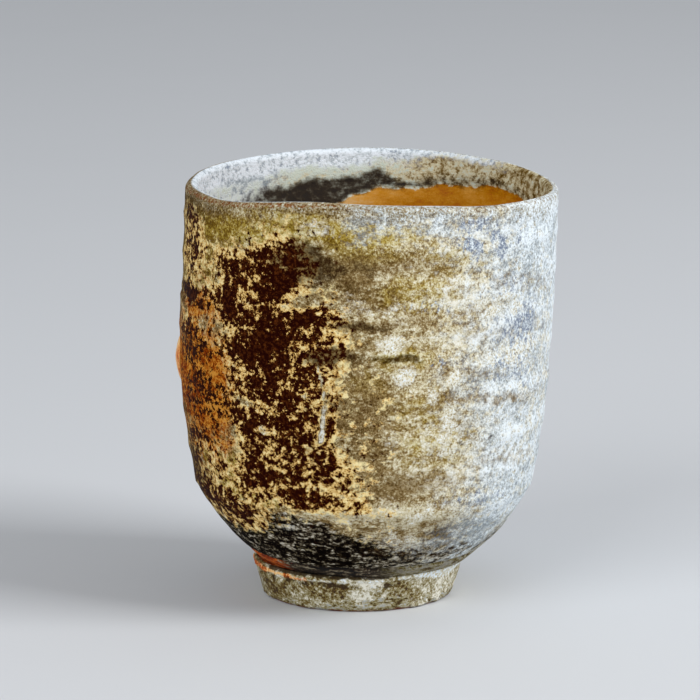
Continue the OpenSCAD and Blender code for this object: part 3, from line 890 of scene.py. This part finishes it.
def clay_material(c):
    """Bare stoneware turned with a metal tool: sandy, dry, and reddened where the flame licked it."""
    material, tree, fire = new_material("turned_stoneware_clay", ["dust", "lick"])
    drag = pattern(tree, 2.2, 6, 0.7, stretch=3.0)
    grain = pattern(tree, 0.5, 3, 0.7)
    tone = weighed(tree, -0.7, (drag, 1.8), (grain, 0.6))
    bare = add_node(tree, RAMP, {0: tone}, [
        (0.4, c.char_black), (0.5, c.char_brown), (0.6, c.clay_brown), (0.75, c.char_pale),
    ]).outputs[0]
    red = add_node(tree, RAMP, {0: tone}, [
        (0.3, c.flash_deep), (0.46, c.clay_red), (0.6, c.clay_orange),
    ]).outputs[0]
    dust = add_node(tree, RAMP, {0: tone}, [
        (0.34, c.ash_shadow), (0.45, c.crust_olive), (0.56, c.crust_grey), (0.72, c.cool_pale),
    ]).outputs[0]
    layers = [
        (dust, covered(tree, fire["dust"], drag, 0.6), 1),
        (red, covered(tree, fire["lick"], drag, 0.5), 1),
    ]
    ground = layered(tree, bare, layers)
    height = weighed(tree, 0.0, (drag, 0.15), (grain, 0.15))
    roughness = weighed(tree, 0.64, (drag, 0.1), (grain, 0.06))
    finished_surface(tree, ground, roughness, height, ior=1.5, gloss=0.2)
    return material


def crust_material(c):
    """Dry ash crust that drifted against the foot: olive and matt, caked white on the ledge."""
    material, tree, fire = new_material("dry_ash_crust", ["light", "cool", "flash", "char_and_shade"])
    mottle = pattern(tree, 2.2, 6, 0.7, stretch=1.1)
    grain = pattern(tree, 0.6, 3, 0.75)
    wide = pattern(tree, 6, 4, 0.6)
    tone = weighed(tree, -2.6, (mottle, 2.1), (grain, 2.5), (wide, 1.6), (fire["light"], 0.8))
    olive = add_node(tree, RAMP, {0: tone}, [
        (0.02, c.clay_brown), (0.22, c.olive_deep), (0.44, c.crust_olive), (0.68, c.crust_grey),
        (1.0, c.ash_white),
    ]).outputs[0]
    flash = add_node(tree, RAMP, {0: tone}, [
        (0.1, c.clay_red), (0.35, c.clay_orange), (0.65, c.wad_pale),
    ]).outputs[0]
    tone = weighed(tree, 0.0, (grain, 0.75), (mottle, 0.25))
    pale = add_node(tree, RAMP, {0: tone}, [
        (0.36, c.crust_grey), (0.44, c.ash_cream), (0.54, c.cool_white),
    ]).outputs[0]
    layers = [
        (pale, covered(tree, fire["cool"], mottle, 0.35), 1),
        (flash, covered(tree, fire["flash"], mottle, 0.35), 1),
        # Painted shade under and above the ledge, with the real brown patches, in soot brown
        ([*c.soot_and_shade_brown, 1], covered(tree, fire["char_and_shade"], mottle, 0.3), 0.9),
    ]
    height = weighed(tree, 0.0, (mottle, 0.25), (grain, 0.16))
    roughness = weighed(tree, 0.7, (mottle, 0.1), (grain, 0.06))
    finished_surface(tree, layered(tree, olive, layers), roughness, height, ior=1.5, gloss=0.2)
    return material


def wad_material(c):
    """Refractory wad clay fused to the wall: fine and dry, and toasted peach and rust by the fire."""
    material, tree, _ = new_material("fused_wad_clay")
    mottle = pattern(tree, 2.4, 3, 0.5)
    grain = pattern(tree, 0.4, 2, 0.6)
    tone = weighed(tree, -0.65, (mottle, 1.7), (grain, 0.6))
    shade = add_node(tree, RAMP, {0: tone}, [
        (0.2, c.flash_orange), (0.34, c.clay_orange), (0.5, c.wad_peach), (0.7, c.wad_pale),
    ]).outputs[0]
    roughness = weighed(tree, 0.5, (mottle, 0.12), (grain, 0.08))
    height = weighed(tree, 0.0, (grain, 0.08))
    finished_surface(tree, shade, roughness, height, ior=1.5, gloss=0.25)
    return material


def floor_material(c):
    """Matt painted board, so it takes a soft shadow and no reflection."""
    material, tree, _ = new_material("matt_painted_board")
    mottle = pattern(tree, 60, 2, 0.5)
    dull = [0.98 * v for v in c.floor]
    shade = layered(tree, [*c.floor, 1], [([*dull, 1], mottle, 1)])
    roughness = weighed(tree, 0.85, (mottle, 0.1))
    height = weighed(tree, 0.0, (mottle, 0.01))
    finished_surface(tree, shade, roughness, height, ior=1.45, gloss=0.5)
    return material


# Pieces


def rings(path, turns):
    """Radius, height and turn of each point of a grid along a section line."""
    turn = np.broadcast_to(turns, (len(path), len(turns)))
    return [np.repeat(path[:, k, None], len(turns), axis=1) for k in (0, 1)] + [turn]


def all_turns(s):
    """The turns of one ring's points, in degrees from the front to the right."""
    return np.arange(s.facets) * 360 / s.facets - 180


def raised(r, z, relief, normal):
    """Radius and height after the section has moved along its normals by the relief."""
    return r + relief * normal[:, 0, None], z + relief * normal[:, 1, None]


def coat_mesh(name, hidden, points, looped, marks):
    """A coat's mesh: a coarse back that carries no marks, then the front that shows."""
    blank = np.zeros(hidden.shape[:2])
    fields = {mark: np.concatenate([blank, values]) for mark, values in marks.items()}
    return grid_mesh(name, np.concatenate([hidden, points]), looped, fields)


class CUP_OT_ash_glaze(bpy.types.Operator):
    """Builds the ash glaze outside, over the lip and a band down the inside"""

    bl_idname = "cup.ash_glaze"
    bl_label = "Ash glaze"

    def execute(self, context):
        s = context.scene.cup_sizes
        outside, lip, band = outside_path(s), lip_path(s), band_path(s, s.overlap)
        path = np.concatenate([outside, lip, band])
        normal = outward(path)
        step = np.arange(len(path))[:, None]
        r, z, turn = rings(path, all_turns(s))
        points = turned(s, r, z, turn)
        inside = np.broadcast_to(step >= len(outside) + len(lip) // 2, r.shape).astype(float)
        relief = outside_relief(s, turn, z, points) * (1 - inside)
        relief += inside * inside_relief(s, turn, z, points)
        thin = 1 - np.minimum(step * s.grid / s.glaze_run, 1)
        relief -= 0.9 * s.glaze_t * thin**2
        points = turned(s, *raised(r, z, relief, normal), turn)
        back = respaced(path - s.glaze_t * normal, 8 * s.grid)[::-1]
        hidden = turned(s, *rings(back, all_turns(s)))

        marks = fire_marks(s, turn, z, points)
        marks.update(inside_marks(turn, z, points))
        marks["inside"] = inside
        on_lip = np.abs(step - len(outside) - 1) <= 1
        marks["lip"] = on_lip * (0.12 + 0.35 * facing(turn, -50, 50, 20))
        piece = coat_mesh("ash_glaze_coat", hidden, points, True, marks)
        dressed(piece, ash_glaze_material(context.scene.cup_colours), "ash_glaze")
        return {"FINISHED"}


class CUP_OT_clay_body(bpy.types.Operator):
    """Builds the thrown clay, which shows bare above the foot"""

    bl_idname = "cup.clay_body"
    bl_label = "Clay body"

    def execute(self, context):
        s = context.scene.cup_sizes
        z = np.linspace(s.foot_h, s.foot_h + s.bare_rise, 5)
        bare = np.stack([outer_r(s, z), z], axis=1)
        inside = np.concatenate([band_path(s, 0), liner_path(s, 0)[1:]])
        coated = np.concatenate([outside_path(s)[1:], lip_path(s), inside])
        inner = coated - 1.9 * s.glaze_t * outward(coated)
        path = np.concatenate([respaced(bare, s.grid), respaced(inner, 2.5 * s.grid)])
        r, z, turn = rings(path, all_turns(s)[::2])
        lick = within(turn, -130, -56, 24)
        dust = 0.65 * np.maximum(smooth(turn, -4, 26), smooth(turn, -130, -160))
        piece = grid_mesh("clay_bowl", turned(s, r, z, turn), False, {"lick": lick, "dust": dust})
        dressed(piece, clay_material(context.scene.cup_colours), "cup_body")
        return {"FINISHED"}


class CUP_OT_liner(bpy.types.Operator):
    """Builds the liner glaze on the inside wall and the floor"""

    bl_idname = "cup.liner"
    bl_label = "Liner glaze"

    def execute(self, context):
        s = context.scene.cup_sizes
        path = liner_path(s, s.overlap)
        normal = outward(path)
        r, z, turn = rings(path, all_turns(s))
        relief = inside_relief(s, turn, z, turned(s, r, z, turn))
        points = turned(s, *raised(r, z, relief, normal), turn)
        back = respaced(path - s.glaze_t * normal, 6 * s.grid)[::-1]
        hidden = turned(s, *rings(back, all_turns(s)))
        piece = coat_mesh("liner_glaze_coat", hidden, points, False, inside_marks(turn, z, points))
        dressed(piece, liner_material(context.scene.cup_colours), "liner_glaze")
        return {"FINISHED"}


def upright(r, z, turn):
    """Points of the foot, which stands straight, from radius, height and turn."""
    return np.stack([r * np.sin(np.radians(turn)), -r * np.cos(np.radians(turn)), z], axis=-1)


def foot_side_r(s, z):
    """Outer radius of the foot's flared side at height z."""
    return s.rest_r + (s.ledge_r - s.rest_r) * z / (s.foot_h - s.ledge_round)


def ledge_points(s):
    """The rounded edge of the ledge, from its widest point in to the neck groove."""
    top_r = s.ledge_r - s.neck_groove
    turn = np.linspace(0, math.pi / 2, 8)
    rise = s.foot_h - s.ledge_round + s.ledge_round * np.sin(turn)
    return np.stack([top_r + s.neck_groove * np.cos(turn), rise], axis=1)


def foot_ring(s):
    """The turned foot ring, with the hollow under it."""
    recess_r = s.rest_r - s.rest_w
    ring = [
        [CENTRE_R, s.recess_depth],
        [recess_r - s.recess_draft, s.recess_depth],
        [recess_r, s.rest_bevel],
        [recess_r + s.rest_bevel, 0],
        [s.rest_r - s.rest_bevel, 0],
        [foot_side_r(s, s.rest_bevel), s.rest_bevel],
        [foot_side_r(s, s.crust_gap), s.crust_gap],
    ]
    ledge = ledge_points(s) - [1.5 * s.crust_t, 0.5 * s.crust_t]
    path = respaced(np.concatenate([ring, ledge, [[CENTRE_R, s.foot_h]]]), s.grid)
    r, z, turn = rings(path, all_turns(s)[::2])
    worn = smooth(z, 0, 1 * MM) * smooth(z, s.foot_h, 7 * MM)
    r = r + s.foot_wear * clouds(upright(r, z, turn), 6 * MM, 3, 83) * worn
    lick = 0.7 * within(turn, -130, -60, 20) * smooth(z, 6.5 * MM, 7.5 * MM)
    hollow = smooth(r, s.rest_r + 0.4 * MM, s.rest_r - 0.6 * MM) * smooth(z, 6 * MM, 5 * MM)
    dust = 0.85 * smooth(z, 7.6 * MM, 6 * MM) * smooth(r, s.rest_r - 1.5 * MM, s.rest_r - 0.5 * MM)
    marks = {"lick": np.maximum(lick, 0.55 * hollow), "dust": dust}
    return grid_mesh("turned_foot_ring", upright(r, z, turn), False, marks)


def foot_crust(s):
    """The ash crust on the foot's side: ragged at the bottom, heaped on the ledge at the right."""
    low = np.linspace(0.3 * MM, s.foot_h - s.ledge_round, 12)
    side = np.stack([foot_side_r(s, low), low], axis=1)
    path = respaced(np.concatenate([side, ledge_points(s)[1:]]), 0.6 * s.grid)
    normal = outward(path)
    back = respaced(path - s.crust_t * normal, 3 * s.grid)[::-1]
    r, z, turn = rings(path, all_turns(s))
    at = upright(r, z, turn)
    line = (6.1 + 0.3 * np.cos(np.radians(3 * turn))) * MM
    ragged = s.crust_gap * (0.05 + 0.45 * clouds(at, 1.5 * MM, 3, 101))
    relief = s.crust_relief * clouds(at, 5 * MM, 4, 89)
    relief -= s.crust_groove * hump(z - line, 0.4 * MM)
    relief += s.crumb_relief * clouds(at, 1.6 * MM, 2, 107) * smooth(z, 6 * MM, 6.8 * MM)
    relief -= s.crust_t * smooth(z, ragged + 0.5 * MM, ragged)
    relief *= smooth(z, s.foot_h, s.foot_h - 0.3 * MM)
    heap = within(turn, 38, 110, 24) * smooth(z, 5 * MM, 7 * MM)
    height = z / MM
    r, z = raised(r, z, relief, normal)
    r, z = r + s.heap_out * heap, z + s.heap_rise * heap
    at = upright(r, z, turn)

    around = turn + 5 * clouds(at, 8 * MM, 2, 97)
    crest = hump(height - 6.95 - 0.3 * clouds(at, 2 * MM, 2, 127), 0.5, 4)
    right = np.maximum(smooth(around, 0, 60), smooth(around, -120, -150))
    crumbs = 0.4 + 0.8 * clouds(at, 1.5 * MM, 2, 113) + 0.4 * right
    crumb = hump(turn - 10 + (height - 5) * 2, 4) * hump(height - 5.9, 1.2)
    brown = smooth(clouds(at, 5 * MM, 3, 109), -0.1, 0.5) * (1 - right)
    caked = np.maximum(crest, heap) * crumbs * np.maximum(smooth(around, -56, -36), right)
    # Painted shade on the front: a dark line under the ledge's crest, and the ledge's upper face and neck
    # groove above it
    char_and_shade = 0.5 * within(around, -50, 18, 16) * hump(height - 5.9, 0.6)
    char_and_shade += 0.8 * smooth(height, 7.3, 7.6) * smooth(around, 40, 10) * smooth(around, -80, -50)
    marks = {
        "light": 0.12 * right + 0.1 * crest + 0.1 * crumb - 0.12 * brown,
        "cool": caked + 0.6 * crumb + 0.2 * right,
        "flash": 0.95 * crest * smooth(around, -16, -44) * smooth(around, -150, -130),
        # The painted shade under and above the ledge, with the real brown patches
        "char_and_shade": char_and_shade + 0.15 * brown,
    }
    return coat_mesh("foot_ash_crust", upright(*rings(back, all_turns(s))), at, True, marks)


class CUP_OT_foot(bpy.types.Operator):
    """Builds the turned foot ring and the ash crust on its side"""

    bl_idname = "cup.foot"
    bl_label = "Foot ring and crust"

    def execute(self, context):
        s = context.scene.cup_sizes
        c = context.scene.cup_colours
        dressed(foot_ring(s), clay_material(c), "foot_ring")
        dressed(foot_crust(s), crust_material(c), "foot_crust")
        return {"FINISHED"}


class CUP_OT_wad_scar(bpy.types.Operator):
    """Builds the low lens of wad clay fused to the wall"""

    bl_idname = "cup.wad_scar"
    bl_label = "Wad scar"

    def execute(self, context):
        s = context.scene.cup_sizes
        # Shares of the scar's radius, from its skirt under the glaze in to the middle of its dome
        reach = np.linspace(1.25, 0.02, 26)
        around = np.linspace(0, 2 * np.pi, 72, endpoint=False)
        out, spin = np.meshgrid(reach, around, indexing="ij")
        wobble = 1 + 0.07 * np.sin(2 * spin + 1) + 0.05 * np.sin(3 * spin) + 0.03 * np.sin(7 * spin + 2)
        across = out * wobble * s.wad_r * np.cos(spin)
        z = s.wad_z + out * wobble * s.wad_r * np.sin(spin)
        turn = s.wad_turn - np.degrees(across / s.belly_r)
        dome = s.wad_proud * (1 - np.minimum(out, 1) ** 2)
        skirt = 0.5 * s.wad_sunk * smooth(out, 0.95, 1.25)
        points = turned(s, outer_r(s, z) + s.wad_lift + dome - skirt, z, turn)
        back = turned(s, outer_r(s, z[:1]) - s.wad_sunk, z[:1], turn[:1])
        piece = grid_mesh("wad_scar_lens", np.concatenate([back, points]), False, {})
        dressed(piece, wad_material(context.scene.cup_colours), "wad_scar")
        return {"FINISHED"}


# The stage: the camera's place in metres, its dip in degrees and its lens in millimetres

CAMERA_BACK = 0.950
CAMERA_HEIGHT = 0.241
CAMERA_LEFT = 0.00158
CAMERA_DIP = 11.29
FOCAL = 238.8
SENSOR_WIDTH = 36
FLOOR_REACH = 4.0

# The soft lamps, each as (name, power in watts, side and place in metres), and the room's own light
LAMPS = [
    ("key_right", 17, 0.7, (1.15, -0.45, 0.95)),
    ("fill_front", 15, 1.2, (-0.9, -1.3, 0.8)),
]
LAMP_TARGET = (0, 0, 0.045)
ROOM_COLOUR = (0.95, 0.97, 1.0, 1)
ROOM_LIGHT = 0.4


def add_lamp(name, power, size, place):
    """A soft square lamp at a place, facing the cup."""
    light = bpy.data.lights.new(name, "AREA")
    light.energy = power
    light.size = size
    lamp = bpy.data.objects.new(name, light)
    lamp.location = place
    toward = [t - p for t, p in zip(LAMP_TARGET, place)]
    flat = math.hypot(toward[0], toward[1])
    lamp.rotation_euler = (math.atan2(flat, -toward[2]), 0, math.atan2(toward[1], toward[0]) - math.pi / 2)
    bpy.context.scene.collection.objects.link(lamp)


class CUP_OT_stage(bpy.types.Operator):
    """Lays the plain floor, sets the soft lamps and stands the camera where the photograph has it"""

    bl_idname = "cup.stage"
    bl_label = "Stage"

    def execute(self, context):
        scene = context.scene
        mesh = bpy.data.meshes.new("plain_floor")
        corners = [(x * FLOOR_REACH, y * FLOOR_REACH, 0) for x, y in ((-1, -1), (1, -1), (1, 1), (-1, 1))]
        mesh.from_pydata(corners, [], [(0, 1, 2, 3)])
        floor = bpy.data.objects.new("plain_floor", mesh)
        mesh.materials.append(floor_material(scene.cup_colours))
        scene.collection.objects.link(floor)

        for lamp in LAMPS:
            add_lamp(*lamp)
        world = bpy.data.worlds.new("soft_room")
        world.use_nodes = True
        background = world.node_tree.nodes["Background"]
        background.inputs[0].default_value = ROOM_COLOUR
        background.inputs[1].default_value = ROOM_LIGHT
        scene.world = world

        lens = bpy.data.cameras.new("camera")
        lens.sensor_width = SENSOR_WIDTH
        lens.lens = FOCAL
        camera = bpy.data.objects.new("camera", lens)
        camera.location = (-CAMERA_LEFT, -CAMERA_BACK, CAMERA_HEIGHT)
        camera.rotation_euler = (math.radians(90 - CAMERA_DIP), 0, 0)
        scene.collection.objects.link(camera)
        scene.camera = camera
        scene.view_settings.view_transform = "Standard"
        return {"FINISHED"}


class CUP_PT_panel(bpy.types.Panel):
    """Lists the cup's pieces in the order they are built"""

    bl_idname = "CUP_PT_panel"
    bl_label = "Tea cup"
    bl_space_type = "VIEW_3D"
    bl_region_type = "UI"
    bl_category = "Tea cup"

    def draw(self, context):
        for step in STEPS:
            self.layout.operator(step.bl_idname)


STEPS = [CUP_OT_clay_body, CUP_OT_ash_glaze, CUP_OT_liner, CUP_OT_foot, CUP_OT_wad_scar, CUP_OT_stage]
CLASSES = [CupSizes, CupColours, *STEPS, CUP_PT_panel]


def register():
    """Registers the classes and hangs the sizes and colours on the scene."""
    for cls in CLASSES:
        bpy.utils.register_class(cls)
    bpy.types.Scene.cup_sizes = PointerProperty(type=CupSizes)
    bpy.types.Scene.cup_colours = PointerProperty(type=CupColours)


def unregister():
    """Takes the sizes, colours and classes away again."""
    del bpy.types.Scene.cup_sizes
    del bpy.types.Scene.cup_colours
    for cls in reversed(CLASSES):
        bpy.utils.unregister_class(cls)


def main():
    """Builds every piece and the stage."""
    register()
    for step in STEPS:
        group, name = step.bl_idname.split(".")
        getattr(getattr(bpy.ops, group), name)()
    bpy.context.view_layer.update()


if __name__ == "__main__":
    main()
